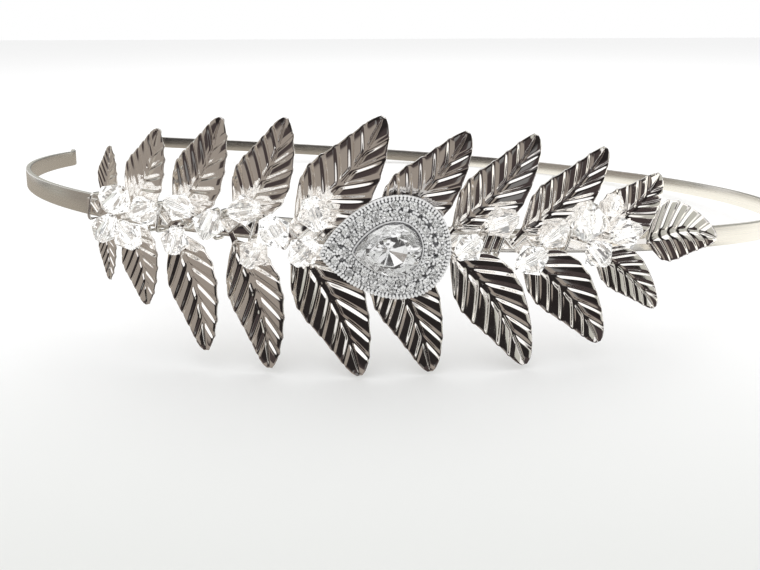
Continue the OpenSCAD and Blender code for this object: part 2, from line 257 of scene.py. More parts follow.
# %% Ceiling, for mirror rays
CEILING_LOW, CEILING_FULL, CEILING_LIGHT = 0.56, 0.62, 1.3
BEHIND_LOW, BEHIND_FULL = -0.14, -0.06
high = add(tree, "ShaderNodeMapRange", {
    "Value": height, "From Min": CEILING_LOW, "From Max": CEILING_FULL})
before = add(tree, "ShaderNodeMapRange", {
    "Value": to_front, "From Min": BEHIND_LOW, "From Max": BEHIND_FULL})
ceiling = add(tree, "ShaderNodeMath", {
    0: high.outputs["Result"], 1: before.outputs["Result"]}, operation="MULTIPLY").outputs[0]
mirrored = add(tree, "ShaderNodeMix", {
    "Factor": ceiling, 6: room, 7: colour(WHITE)}, data_type="RGBA")
bright = add(tree, "ShaderNodeMapRange", {
    "Value": ceiling, "To Min": 1.0, "To Max": CEILING_LIGHT})
mirror_light = add(tree, "ShaderNodeBackground", {
    "Color": mirrored.outputs[2], "Strength": bright.outputs["Result"]})

# %% [markdown]
# ## The light that stones throw back
# A cut stone sparkles because some of its facets send the light to something dark and others
# straight to a lamp. Rays that have gone through glass and come back towards the camera's side
# see the same room, but overhead it turns to a strong white flash. All other rays see an even
# soft white, which is brighter through glass and a little brighter for the camera itself.

# %% Light for the stones and for everything else
OVERHEAD_LOW, OVERHEAD_FULL = 0.3, 0.36
BACK_OUT_LOW, BACK_OUT_FULL, ROOM_SHARE = 0.1, 0.35, 0.95
SOFT_LIGHT, IN_GLASS, FOR_CAMERA, FLASH = 0.9, 0.8, 0.1, 4.5
through_glass = ray.outputs["Is Transmission Ray"]
overhead = add(tree, "ShaderNodeMapRange", {
    "Value": height, "From Min": OVERHEAD_LOW, "From Max": OVERHEAD_FULL})
forward = add(tree, "ShaderNodeMapRange", {
    "Value": to_front, "From Min": BACK_OUT_LOW, "From Max": BACK_OUT_FULL})
returned = add(tree, "ShaderNodeMath", {
    0: forward.outputs["Result"], 1: through_glass}, operation="MULTIPLY")
sparkling = add(tree, "ShaderNodeMix", {
    "Factor": overhead.outputs["Result"], 6: room, 7: colour(WHITE)}, data_type="RGBA")
part_room = add(tree, "ShaderNodeMath", {
    0: returned.outputs[0], 1: ROOM_SHARE}, operation="MULTIPLY")
seen_through = add(tree, "ShaderNodeMix", {
    "Factor": part_room.outputs[0], 6: colour(WHITE), 7: sparkling.outputs[2]}, data_type="RGBA")
through = add(tree, "ShaderNodeMath", {
    0: through_glass, 1: IN_GLASS, 2: SOFT_LIGHT}, operation="MULTIPLY_ADD")
seen = add(tree, "ShaderNodeMath", {
    0: ray.outputs["Is Camera Ray"], 1: FOR_CAMERA, 2: through.outputs[0]},
    operation="MULTIPLY_ADD")
flash = add(tree, "ShaderNodeMath", {
    0: returned.outputs[0], 1: overhead.outputs["Result"]}, operation="MULTIPLY")
strength = add(tree, "ShaderNodeMath", {
    0: flash.outputs[0], 1: FLASH, 2: seen.outputs[0]}, operation="MULTIPLY_ADD")
soft_light = add(tree, "ShaderNodeBackground", {
    "Color": seen_through.outputs[2], "Strength": strength.outputs[0]})

# %% Choose between the two by the kind of ray
choice = add(tree, "ShaderNodeMixShader", {
    "Fac": ray.outputs["Is Glossy Ray"], 1: soft_light.outputs[0], 2: mirror_light.outputs[0]})
add(tree, "ShaderNodeOutputWorld", {"Surface": choice.outputs[0]})
print("world:", len(tree.nodes), "nodes")
bpy.context.scene.view_settings.view_transform = "Standard"
# Clear glass over foil needs many passes before a ray comes out again
for name, bounces in (("max_bounces", 24), ("glossy_bounces", 16), ("transmission_bounces", 24)):
    setattr(bpy.context.scene.cycles, name, bounces)

# %% [markdown]
# ## A soft lamp
# One large lamp high over the back of the table gives the soft shadow under the leaves. Mirror
# rays don't see it, because the ceiling already gives them their white.

# %% Soft lamp over the table
LAMP_LONG, LAMP_DEEP, LAMP_WATTS = 0.5, 0.4, 0.8
LAMP_PLACE, LAMP_TILT = (0.05, 0.15, 0.5), -15
lamp_data = bpy.data.lights.new("softbox", "AREA")
lamp_data.shape = "RECTANGLE"
lamp_data.size, lamp_data.size_y, lamp_data.energy = LAMP_LONG, LAMP_DEEP, LAMP_WATTS
lamp = bpy.data.objects.new("softbox", lamp_data)
lamp.matrix_world = at(*LAMP_PLACE) @ turned("X", LAMP_TILT)
bpy.context.scene.collection.objects.link(lamp)
lamp.visible_glossy = False
print("lamp hangs", mm(LAMP_PLACE)[2], "mm over the table")

# %% [markdown]
# ## Working by hand in code
# The helpers below are what the mouse does: deselect everything, enter edit mode, pick vertices
# by their place, and leave edit mode again. The ones after them are for whole objects: apply
# what the modifiers do, copy, and join.

# %% Edit helpers
NEAR = 0.001


def start_fresh():
    if bpy.context.object and bpy.context.object.mode != "OBJECT":
        bpy.ops.object.mode_set(mode="OBJECT")
    bpy.ops.object.select_all(action="DESELECT")


def edit(obj, mode="VERT"):
    start_fresh()
    obj.select_set(True)
    bpy.context.view_layer.objects.active = obj
    bpy.ops.object.mode_set(mode="EDIT")
    bpy.ops.mesh.select_mode(type=mode)
    bpy.ops.mesh.select_all(action="DESELECT")


def pick(obj, test):
    """Selects the vertices whose place passes the test, and the edges and faces between them."""
    mesh = bmesh.from_edit_mesh(obj.data)
    for face in mesh.faces:
        face.select = False
    for edge in mesh.edges:
        edge.select = False
    for vertex in mesh.verts:
        vertex.select = bool(test(vertex.co))
    mesh.select_flush(True)
    bmesh.update_edit_mesh(obj.data)


def done(obj, smooth=30):
    """Leaves edit mode with merged doubles and normals outwards."""
    bpy.ops.mesh.select_all(action="SELECT")
    bpy.ops.mesh.remove_doubles(threshold=NEAR)
    bpy.ops.mesh.normals_make_consistent(inside=False)
    bpy.ops.object.mode_set(mode="OBJECT")
    if smooth:
        bpy.ops.object.shade_smooth_by_angle(angle=math.radians(smooth))


# %% Helpers for whole objects


def apply_modifiers(obj):
    start_fresh()
    obj.select_set(True)
    bpy.context.view_layer.objects.active = obj
    for modifier in list(obj.modifiers):
        bpy.ops.object.modifier_apply(modifier=modifier.name)


def copied(obj, name):
    twin = obj.copy()
    twin.data = obj.data.copy()
    twin.name = twin.data.name = name
    bpy.context.scene.collection.objects.link(twin)
    return twin


def joined(pieces, name):
    start_fresh()
    for piece in pieces:
        piece.select_set(True)
    bpy.context.view_layer.objects.active = pieces[0]
    bpy.ops.object.join()
    pieces[0].name = pieces[0].data.name = name
    return pieces[0]


# %% [markdown]
# ## Handing a piece over
# A finished piece gets its place in its mesh, its name and its finish. It also gets the body
# that it rides on, which is the one body of this object, and the solids that it stands for are
# hidden.

# %% The finishing step


def finished(obj, name, matrix, material, slot, *nodes):
    obj.data.transform(matrix)
    obj.name = obj.data.name = name
    if not len(obj.data.materials):
        obj.data.materials.append(material)
    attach(obj, "root")
    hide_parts(*nodes)
    return obj


# %% [markdown]
# ## The table's paint
# The table top is matt and white. One soft pale grey band of painted shade runs across it in
# front of the headband, where the white surface in the photograph turns away from the light.

# %% Matt white paint with a band of painted shade
SHADE_FROM, SHADE_TO = -0.45, -0.05
table_paint_with_painted_shade, tree, shader, _ = new_material("matt_white_table_painted_shade")
coords = add(tree, "ShaderNodeTexCoord")
spot = add(tree, "ShaderNodeSeparateXYZ", {"Vector": coords.outputs["Object"]})
back = add(tree, "ShaderNodeMapRange", {
    "Value": spot.outputs["Y"], "From Min": SHADE_FROM, "From Max": SHADE_TO})
shade = add(tree, "ShaderNodeValToRGB", {"Fac": back.outputs["Result"]})
# The grey stop is painted shade on the flat table, not a colour of its own
fill_stops(shade.color_ramp, [(0.6, WHITE), (0.8, "#d6d8d4"), (1, WHITE)])
tree.links.new(shade.outputs["Color"], shader.inputs["Base Color"])
shader.inputs["Roughness"].default_value = 0.6
shader.inputs["Specular IOR Level"].default_value = 0.0
print("paint:", table_paint_with_painted_shade.name)

# %% [markdown]
# ## The table and its reflection
# The table is hidden from mirror rays, so that the plated leaves show the dull room and not a
# white table. The polished strip does show it, at its back and at its right. So cards that only
# mirror rays see lie there under the table top: a sand one at the left and white ones at the
# right. They give their own light, because the table keeps every lamp off them.

# %% Paint of the cards


def lit_card(name, shade, strength=1.0):
    """Paint that is evenly lit from within."""
    material, _, shader, _ = new_material(name)
    shader.inputs["Base Color"].default_value = colour("#000000")
    shader.inputs["Specular IOR Level"].default_value = 0.0
    shader.inputs["Emission Color"].default_value = colour(shade)
    shader.inputs["Emission Strength"].default_value = strength
    return material


sand_card = lit_card("lit_sand_card", "#b9b1a5")
white_card = lit_card("lit_white_card", "#f8f6ee", 1.5)
print("cards:", sand_card.name, white_card.name)

# %% Table and cards
TABLE_REACH, CARD_LIFT = 1.2, -0.0005
# Low corner and high corner in metres, and the paint
CARDS = [((-0.2, -0.045), (0.012, 0.2), sand_card), ((0.012, -0.045), (0.3, 0.2), white_card),
         ((0.076, -0.12), (0.3, -0.045), white_card)]


def flat_stage(name, low, high, lift, paint):
    start_fresh()
    middle = ((low[0] + high[0]) / 2, (low[1] + high[1]) / 2, lift)
    bpy.ops.mesh.primitive_plane_add(size=1, location=middle)
    flat = bpy.context.object
    flat.name = name
    flat.scale = (high[0] - low[0], high[1] - low[1], 1)
    bpy.ops.object.transform_apply(location=True, scale=True)
    flat.data.materials.append(paint)
    return flat


table = flat_stage("table", (-TABLE_REACH,) * 2, (TABLE_REACH,) * 2, 0, table_paint_with_painted_shade)
table.visible_glossy = False
for n, (low, high, paint) in enumerate(CARDS):
    card = flat_stage(f"reflection_card_{n + 1}", low, high, CARD_LIFT, paint)
    card.visible_camera = card.visible_diffuse = False
    card.visible_transmission = card.visible_shadow = False
print("table and", len(CARDS), "cards")

# %% [markdown]
# ## Polished spring steel
# The strip is cold-rolled spring steel, polished lengthways. That gives the eye soft, long
# reflections with very fine lines along the strip. The real lines are too fine to show, so they
# are drawn about a twelfth of a millimetre apart. The pattern is turned upright with the band,
# or its lines would run out of the strip's edges.

# %% Steel
# Along the strip a line goes on for about 20 mm, and across it there are 12 in a millimetre
LINES_PER_MM = (0.05, 0.05, 12)
STEEL_SMOOTH, STEEL_DULL, STEEL_LINE_DEPTH = 0.2, 0.32, 0.00001
spring_steel, tree, shader, _ = new_material("polished_spring_steel")
coords = add(tree, "ShaderNodeTexCoord")
upright = add(tree, "ShaderNodeMapping", {
    "Vector": coords.outputs["Object"], "Rotation": LIE.inverted().to_euler(),
    "Scale": (1 / METRES, 1 / METRES, 1 / METRES)})
stretch = add(tree, "ShaderNodeMapping", {"Vector": upright.outputs[0], "Scale": LINES_PER_MM})
lines = add(tree, "ShaderNodeTexNoise", {
    "Vector": stretch.outputs[0], "Scale": 1.0, "Detail": 4.0})
dull = add(tree, "ShaderNodeMapRange", {
    "Value": lines.outputs["Fac"], "From Min": 0.3, "From Max": 0.7,
    "To Min": STEEL_SMOOTH, "To Max": STEEL_DULL})
scratches = add(tree, "ShaderNodeBump", {
    "Height": lines.outputs["Fac"], "Strength": 0.15, "Distance": STEEL_LINE_DEPTH})
shader.inputs["Base Color"].default_value = colour("#dcd9d4")
shader.inputs["Metallic"].default_value = 1.0
tree.links.new(dull.outputs[0], shader.inputs["Roughness"])
tree.links.new(scratches.outputs[0], shader.inputs["Normal"])
print("steel:", spring_steel.name)

# %% [markdown]
# ## The strip's section
# The real strip is rolled flat from wire, so its section is a thin rectangle with rounded
# corners. A plane the size of the section stands at the crown, its corners are bevelled, and
# its face is deleted, so that only the outline is left to draw along the arcs.

# %% Section of the strip at the crown
BAND_WIDTH, BAND_THICK, BAND_CORNER = 3.0, 0.8, 0.14
start_fresh()
bpy.ops.mesh.primitive_plane_add(size=1, rotation=(math.radians(90), 0, 0))
strip = bpy.context.object
strip.scale = (BAND_THICK, BAND_WIDTH, 1)
bpy.ops.object.transform_apply(location=True, rotation=True, scale=True)
edit(strip)
bpy.ops.mesh.select_all(action="SELECT")
bpy.ops.mesh.bevel(offset=BAND_CORNER, segments=3, affect="VERTICES")
bpy.ops.mesh.select_all(action="SELECT")
bpy.ops.mesh.delete(type="ONLY_FACE")
print("strip's section:", len(bmesh.from_edit_mesh(strip.data).verts), "corners")

# %% [markdown]
# ## Bending the strip
# Spin does what the formers do: the section is spun about the centre of one arc after another,
# so every bend is a true arc. Each arm ends in a short straight tab with a round end, which is
# drawn out in short pushes, each one lower than the one before.

# %% Helpers for arcs and tabs
TAB_LEN, ROUND_STEPS, ROUND_DEGREES = 2.0, 8, 11


def spin_arcs(arcs, state, flip, finest):
    """Spins what is selected about the centre of each arc in turn."""
    x, y, heading = state
    for r, degrees in arcs:
        turn = math.copysign(math.radians(degrees), r)
        centre = (x - r * math.cos(heading), flip * (y - r * math.sin(heading)), 0)
        bpy.ops.mesh.spin(steps=max(2, math.ceil(degrees / finest)), angle=-flip * turn,
                          center=centre, axis=(0, 0, 1))
        x += r * (math.cos(heading + turn) - math.cos(heading))
        y += r * (math.sin(heading + turn) - math.sin(heading))
        heading += turn
    return x, y, heading


def draw_tab(state, flip):
    ahead = Vector((-math.sin(state[2]), flip * math.cos(state[2]), 0))
    bpy.ops.mesh.extrude_region_move(TRANSFORM_OT_translate={"value": ahead * TAB_LEN})
    low = 1.0
    for step in range(1, ROUND_STEPS + 1):
        now = math.radians(ROUND_DEGREES * step)
        before = math.radians(ROUND_DEGREES * (step - 1))
        push = BAND_WIDTH / 2 * (math.sin(now) - math.sin(before))
        bpy.ops.mesh.extrude_region_move(TRANSFORM_OT_translate={"value": ahead * push})
        bpy.ops.transform.resize(value=(1, 1, math.cos(now) / low), center_override=(0, 0, 0))
        low = math.cos(now)
    bpy.ops.mesh.edge_face_add()


# %% Both arms of the strip
CROWN_MIDDLE, BAND_STEP = (0, 0, 0), 1.5
pick(strip, lambda co: abs(co.y) < NEAR)
draw_tab(spin_arcs(BACK_ARCS, CROWN_MIDDLE, 1, BAND_STEP), 1)
pick(strip, lambda co: abs(co.y) < NEAR and abs(co.x) < 1)
draw_tab(spin_arcs(FRONT_ARCS, CROWN_MIDDLE, -1, BAND_STEP), -1)
done(strip, smooth=40)
finished(strip, "strip", LIE, spring_steel, "band_steel", "headband")
corners = [Vector(c) for c in strip.bound_box]
print("strip's box", [mm([pull(c[i] for c in corners) for i in range(3)]) for pull in (min, max)],
      "solid's box", [mm(corner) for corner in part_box("headband")])

# %% [markdown]
# ## Bright silver plate
# The leaves are stamped brass with a bright silver plate. To the eye it is almost a mirror,
# with a trace of warmth. The stamping leaves shallow waves of about a millimetre, which break
# up long reflections.

# %% Silver plate
WAVES_PER_METRE, WAVE_DEPTH = 900.0, 0.00004
silver_plate, tree, shader, _ = new_material("bright_silver_plate")
coords = add(tree, "ShaderNodeTexCoord")
ripple = add(tree, "ShaderNodeTexNoise", {
    "Vector": coords.outputs["Object"], "Scale": WAVES_PER_METRE, "Detail": 3.0})
dull = add(tree, "ShaderNodeMapRange", {
    "Value": ripple.outputs["Fac"], "From Min": 0.3, "From Max": 0.7,
    "To Min": 0.05, "To Max": 0.12})
dents = add(tree, "ShaderNodeBump", {
    "Height": ripple.outputs["Fac"], "Strength": 0.06, "Distance": WAVE_DEPTH})
shader.inputs["Base Color"].default_value = colour("#f0ece8")
shader.inputs["Metallic"].default_value = 1.0
tree.links.new(dull.outputs[0], shader.inputs["Roughness"])
tree.links.new(dents.outputs[0], shader.inputs["Normal"])
print("plate:", silver_plate.name)

# %% [markdown]
# ## One leaf
# Each leaf is stamped from sheet: seven ribs on each half run from the midrib to the edge, with
# a round root and a small tooth where they leave the edge. A grid is the sheet. Its rows are
# moved to the chevrons of the ribs and the middle rows of each rib are raised. The sheet is
# folded slightly forward along the midrib, curves sideways and rises towards its tip.

# %% Measures of the leaf
LEAF_LEN, LEAF_WIDTH, LEAF_SHEET = 16.0, 8.1, 0.3
# Where each rib starts, as shares of the length: on the midrib, and at the edge
RIB_BOUNDS = [(0, 0), (0.03, 0.27), (0.16, 0.4), (0.29, 0.53), (0.42, 0.66), (0.57, 0.79),
              (0.73, 0.9), (1, 1)]
# Rows across one rib: the share of its breadth, and how far the row is raised
RIB_ROWS = [(0.0, 0.0), (0.06, 0.03), (0.23, 0.94), (0.29, 1.0), (0.68, 1.0), (0.74, 0.94),
            (0.91, 0.03)]
# Lines along the leaf: the share of the way from midrib to edge, and how far they are raised
COLUMNS = [0.0, 0.08, 0.17, 0.22, 0.6, 0.95, 1.0]
COLUMN_RISE = [0.4, 0.0, 0.92, 1.0, 1.0, 0.7, 0.0]
# How far each row of a rib stands out at the edge, in millimetres
TOOTH, BLUNT_TOOTH, TOOTHED = {0: -0.07, 1: -0.05, 4: 0.03, 5: 0.07, 6: 0.07}, 0.3, (0.1, 0.96)
# Share of the blade's length at the edge, and the half width there as a share of the widest
OUTLINE = [(0, 0.1), (0.06, 0.36), (0.14, 0.66), (0.24, 0.89), (0.36, 1.0), (0.5, 0.94),
           (0.64, 0.77), (0.76, 0.61), (0.86, 0.45), (0.94, 0.31), (0.98, 0.18), (1.0, 0.07)]
RIB_HEIGHT, LOW_RIBS, FOLD, RISE, CURVE = 0.27, 1.2, -0.1, 0.22, math.radians(34)
print("leaf:", LEAF_LEN, "mm by", LEAF_WIDTH, "mm, with", len(RIB_BOUNDS) - 1, "ribs a side")

# %% From the sheet's rows and lines to places


def half_width(edge):
    """Half width of the blade at a share of its length, between the rows of OUTLINE."""
    for (start, wide), (stop, next_wide) in zip(OUTLINE, OUTLINE[1:]):
        if edge <= stop:
            return LEAF_WIDTH / 2 * (wide + (next_wide - wide) * (edge - start) / (stop - start))


def leaf_point(row, line):
    """Place of one grid point: along the leaf, across it and up."""
    rib, part = divmod(row, len(RIB_ROWS))
    share, raised = RIB_ROWS[part]
    start, stop = RIB_BOUNDS[rib], RIB_BOUNDS[min(rib + 1, len(RIB_BOUNDS) - 1)]
    root = start[0] + (stop[0] - start[0]) * share
    edge = start[1] + (stop[1] - start[1]) * share
    column, side = abs(line), (line > 0) - (line < 0)
    half = half_width(edge)
    ridge = RIB_HEIGHT * raised * COLUMN_RISE[column] * min(1, half / LOW_RIBS)
    if column == len(COLUMNS) - 1 and TOOTHED[0] < edge < TOOTHED[1]:
        half += TOOTH.get(part, 0) * (1 if side > 0 else BLUNT_TOOTH)
    x = LEAF_LEN * (root + (edge - root) * COLUMNS[column])
    y = COLUMNS[column] * half
    heading = CURVE * (x / LEAF_LEN - 0.5)
    radius = LEAF_LEN / CURVE
    return Vector((
        radius * (math.sin(heading) + math.sin(CURVE / 2)) - side * y * math.sin(heading),
        radius * (math.cos(CURVE / 2) - math.cos(heading)) + side * y * math.cos(heading),
        RISE * x - FOLD * y + ridge))


# %% Stamp the sheet
rows = len(RIB_ROWS) * (len(RIB_BOUNDS) - 1)
lines = 2 * (len(COLUMNS) - 1)
start_fresh()
bpy.ops.mesh.primitive_grid_add(x_subdivisions=rows, y_subdivisions=lines, size=2)
leaf = bpy.context.object
edit(leaf)
mesh = bmesh.from_edit_mesh(leaf.data)
for index, vertex in enumerate(mesh.verts):
    line, row = divmod(index, rows + 1)
    vertex.co = leaf_point(row, line - lines // 2)
    vertex.select_set(row == 0)
mesh.select_flush(True)
bmesh.update_edit_mesh(leaf.data)
print("leaf's sheet:", len(mesh.verts), "points,", len(mesh.faces), "faces")

# %% [markdown]
# ## Stalk and thickness
# The root edge of the sheet is still selected, and three pushes draw it out to the stalk. The
# Solidify modifier gives the sheet its thickness, and Subdivision Surface rounds it, as a press
# never leaves a sharp bend in sheet metal.

# %% Stalk, thickness and rounding
# Each push goes back along the leaf, in millimetres, and is followed by a change of width
STALK_PUSHES, ROUNDING = ((-0.5, 0.85), (-1.5, 1.0), (-0.6, 1.0)), 2
for push, width in STALK_PUSHES:
    bpy.ops.mesh.extrude_region_move(TRANSFORM_OT_translate={"value": (push, 0, 0)})
    bpy.ops.transform.resize(value=(1, width, 1), center_override=(0, 0, 0))
done(leaf, smooth=0)
if sum(p.normal.z for p in leaf.data.polygons) < 0:
    leaf.data.flip_normals()
solidify = leaf.modifiers.new("sheet", "SOLIDIFY")
solidify.thickness, solidify.offset = LEAF_SHEET, -1
rounding = leaf.modifiers.new("rounding", "SUBSURF")
rounding.levels = rounding.render_levels = ROUNDING
apply_modifiers(leaf)
bpy.ops.object.shade_smooth()
print("leaf:", len(leaf.data.polygons), "faces, reaches",
      [round(max(v.co[i] for v in leaf.data.vertices), 2) for i in (0, 2)], "mm out and up")

# %% [markdown]
# ## The mirrored leaf
# The lower leaves curve the other way. They are copies of a mirrored leaf, and because a mirror
# turns a mesh inside out, its normals are turned outwards again.

# %% Mirrored leaf
lower_leaf = copied(leaf, "lower_leaf")
edit(lower_leaf)
bpy.ops.mesh.select_all(action="SELECT")
bpy.ops.transform.resize(value=(1, -1, 1), center_override=(0, 0, 0))
bpy.ops.mesh.flip_normals()
start_fresh()
print("mirrored leaf:", len(lower_leaf.data.polygons), "faces")

# %% [markdown]
# ## The leaves on the branch
# The leaves sit in pairs along the stem. Each one is a copy of the same stamping, scaled to its
# length, turned to its angle and placed at its joint, but its stalk keeps its full length. One
# end leaf, broader and bent like a low roof, closes the branch.

# %% Leaves in their places
STALK, LEAF_SEAT = 2.0, 1.2
# Distance along the arm, then the length, turn and twist of the upper and of the lower leaf
LEAF_PAIRS = [
    (73.7, (10.5, 49, 0), (11.5, -38, 2)), (83.5, (13.7, 52, -6), (15.2, -45, 4)),
    (92.2, (14.6, 55, -3), (16.6, -55, -8)), (101.5, (15.5, 51, 0), (16.3, -61, 0)),
    (111.5, (17.0, 51, 0), (17.9, -57, 1)), (118.9, (14.5, 58, 0), (16.4, -65, 8)),
    (127.5, (15.2, 51, -5), (15.6, -62, 1)), (135.0, (13.5, 49, 0), (11.0, -59, 0)),
    (139.5, (8.5, 58, 0), (8.0, -66, 0))]
BROAD = {"leaf_upper_1": 1.55, "leaf_lower_8": 1.3}
END_JOINT, END_LEN, END_BROAD, END_ROOF = 66, 9.5, 1.75, 0.27
END_TURN = turned("Z", 4) @ turned("Y", -5) @ turned("X", -5)


def place_leaf(stamping, name, joint, blade, turn, broad=1.0, roof=0.0):
    leaf_copy = copied(stamping, name)
    size = blade / LEAF_LEN
    for vertex in leaf_copy.data.vertices:
        x = vertex.co.x
        y = vertex.co.y * size * broad
        vertex.co = (STALK + (x * size if x > 0 else x), y, vertex.co.z * size - roof * abs(y))
    finished(leaf_copy, name, LIE @ on_arm(joint) @ at(0, 0, LEAF_SEAT) @ turn,
             silver_plate, "silver_plate", "leaf_branch")


for n, (joint, *pair) in enumerate(LEAF_PAIRS):
    for stamping, row, (blade, turn, twist) in zip((leaf, lower_leaf), ("upper", "lower"), pair):
        name = f"leaf_{row}_{n + 1}"
        place_leaf(stamping, name, joint, blade, turned("Z", turn) @ turned("X", twist),
                   BROAD.get(name, 1.0))
place_leaf(lower_leaf, "leaf_end", END_JOINT, END_LEN, END_TURN, END_BROAD, END_ROOF)
for stamping in (leaf, lower_leaf):
    bpy.data.objects.remove(stamping)
print("leaves:", 2 * len(LEAF_PAIRS) + 1)

# %% [markdown]
# ## The stem
# The stem is a flat bar with well rounded edges, stamped in one with the leaves. It lies on the
# outside of the strip and follows it, so its section is spun about the same centres. Both ends
# are closed with a face.

# %% Stem
STEM_THICK, STEM_WIDE, STEM_ROUND, STEM_OUT = 0.7, 2.2, 0.3, 0.85
STEM_FROM, STEM_TO, STEM_STEP = 66, 142, 2
# About this far along the arm the second arc gives way to the third
SIDE_STOP = 112.876
start_fresh()
bpy.ops.mesh.primitive_plane_add(size=1, rotation=(0, math.radians(90), 0))
stem = bpy.context.object
stem.scale = (STEM_THICK, STEM_WIDE, 1)
bpy.ops.object.transform_apply(location=True, rotation=True, scale=True)
edit(stem)
bpy.ops.mesh.select_all(action="SELECT")
bpy.ops.mesh.bevel(offset=STEM_ROUND, segments=4, affect="VERTICES")
bpy.ops.mesh.select_all(action="SELECT")
bpy.ops.mesh.delete(type="ONLY_FACE")
start_fresh()
stem.data.transform(on_arm(STEM_FROM) @ at(0, 0, STEM_OUT))
print("stem's section:", len(stem.data.vertices), "corners")

# %% Spin the stem along the arm, and close its ends
side_full = CROWN[0] * math.radians(CROWN[1]) + SIDE[0] * math.radians(SIDE[1])
side_turn = math.degrees((side_full - STEM_FROM) / SIDE[0])
front_turn = math.degrees((STEM_TO - SIDE_STOP) / FRONT[0])
edit(stem)
bpy.ops.mesh.select_all(action="SELECT")
spin_arcs([(SIDE[0], side_turn), (FRONT[0], front_turn)], walk(FRONT_ARCS, STEM_FROM), -1,
          STEM_STEP)
bpy.ops.mesh.edge_face_add()
bpy.ops.mesh.select_all(action="DESELECT")
bpy.ops.mesh.select_non_manifold()
bpy.ops.mesh.edge_face_add()
done(stem, smooth=40)
finished(stem, "stem", LIE, silver_plate, "silver_plate", "leaf_branch")
print("stem:", len(stem.data.polygons), "faces")

# %% [markdown]
# ## Cut glass and stones
# The beads are machine-cut clear glass. The stones of the cluster are cut zirconia, in which
# light bends far more, so each facet shows quite another part of the room. The shaders give a
# very little painted glow of their own, a painted sparkle that a small render can't resolve.
# Shadow rays pass straight through, because a real bead throws light on the table and not a
# black shadow.

# %% Clear stones
GLASS_IOR, ZIRCONIA_IOR = 1.5, 2.0


def clear_stone(name, ior, painted_glow):
    material, tree, shader, out = new_material(name)
    shader.inputs["Base Color"].default_value = colour(WHITE)
    shader.inputs["Roughness"].default_value = 0.0
    shader.inputs["IOR"].default_value = ior
    shader.inputs["Transmission Weight"].default_value = 1.0
    # Painted glow: the stone gives a faint light of its own, standing in for sparkle
    shader.inputs["Emission Color"].default_value = colour("#fbfcfb")
    shader.inputs["Emission Strength"].default_value = painted_glow
    clear = add(tree, "ShaderNodeBsdfTransparent", {"Color": colour("#f4f6f7")})
    ray = add(tree, "ShaderNodeLightPath")
    mixed = add(tree, "ShaderNodeMixShader", {
        "Fac": ray.outputs["Is Shadow Ray"], 1: shader.outputs[0], 2: clear.outputs[0]})
    tree.links.new(mixed.outputs[0], out.inputs["Surface"])
    return material


pear_zirconia = clear_stone("cut_zirconia", ZIRCONIA_IOR, 0.015)
round_zirconia = clear_stone("small_round_zirconia", ZIRCONIA_IOR, 0.055)
bead_glass = clear_stone("bright_bead_glass_painted_glow", GLASS_IOR, 0.07)
print("clear:", bead_glass.name, round_zirconia.name, pear_zirconia.name)

# %% [markdown]
# ## Foil backs
# The stones of the cluster are foil-backed, as rhinestones are: a thin mirror of silver lies on
# the facets below the girdle, so light that enters from the front is thrown back out of it. The
# foil is slightly uneven, in patches under a millimetre wide.

# %% Foil
PATCHES_PER_METRE = 1500.0
foil, tree, shader, _ = new_material("silver_foil_back")
coords = add(tree, "ShaderNodeTexCoord")
patches = add(tree, "ShaderNodeTexNoise", {
    "Vector": coords.outputs["Object"], "Scale": PATCHES_PER_METRE})
dull = add(tree, "ShaderNodeMapRange", {
    "Value": patches.outputs["Fac"], "To Min": 0.02, "To Max": 0.08})
shader.inputs["Base Color"].default_value = colour("#f6f6f6")
shader.inputs["Metallic"].default_value = 1.0
tree.links.new(dull.outputs[0], shader.inputs["Roughness"])


def back_with_foil(stone, clear, girdle):
    """Gives the clear stone to the facets in front of the girdle, and foil to those behind."""
    stone.data.materials.append(clear)
    stone.data.materials.append(foil)
    for face in stone.data.polygons:
        face.material_index = int(face.center.z < girdle)


print("foil:", foil.name)

# %% [markdown]
# ## One bead
# A bicone bead is two cones of facets, base to base, drilled from point to point. It starts as
# an eight-sided bar. A cut round its middle is widened and turned half a facet, which breaks
# each side into triangles.

# %% Facets of the bead
BEAD_D, BEAD_LEN, BEAD_END, BORE, SIDES = 4.0, 3.68, 0.78, 0.45, 8
start_fresh()
bpy.ops.mesh.primitive_cylinder_add(
    vertices=SIDES, radius=BEAD_END, depth=BEAD_LEN, end_fill_type="NGON")
bead = bpy.context.object
edit(bead)
bpy.ops.mesh.select_all(action="SELECT")
bpy.ops.mesh.bisect(plane_co=(0, 0, 0), plane_no=(0, 0, 1))
pick(bead, lambda co: abs(co.z) < NEAR)
wide = BEAD_D / 2 / BEAD_END
bpy.ops.transform.resize(value=(wide, wide, 1), center_override=(0, 0, 0))
bpy.ops.transform.rotate(
    value=math.radians(180 / SIDES), orient_axis="Z", center_override=(0, 0, 0))
mesh = bmesh.from_edit_mesh(bead.data)
for face in mesh.faces:
    face.select_set(len(face.verts) == 4)
bmesh.update_edit_mesh(bead.data)
bpy.ops.mesh.quads_convert_to_tris(quad_method="SHORTEST_DIAGONAL", ngon_method="BEAUTY")
print("bead:", len(bmesh.from_edit_mesh(bead.data).faces), "facets and ends")

# %% [markdown]
# ## The drilled hole
# A face is set into each end and deleted, which leaves the two mouths of the hole. Bridging
# their edges makes the wall of the hole through the whole bead.

# %% Hole of the bead
bpy.ops.mesh.select_all(action="SELECT")
bpy.ops.mesh.select_mode(type="FACE")
mesh = bmesh.from_edit_mesh(bead.data)
for face in mesh.faces:
    face.select_set(len(face.verts) == SIDES)
bmesh.update_edit_mesh(bead.data)
bpy.ops.mesh.inset(thickness=BEAD_END * math.cos(math.pi / SIDES) - BORE)
bpy.ops.mesh.delete(type="ONLY_FACE")
mesh = bmesh.from_edit_mesh(bead.data)
for edge in mesh.edges:
    edge.select_set(len(edge.link_faces) == 1)
bmesh.update_edit_mesh(bead.data)
bpy.ops.mesh.bridge_edge_loops()
done(bead, smooth=0)
print("bead:", len(bead.data.polygons), "facets and walls")

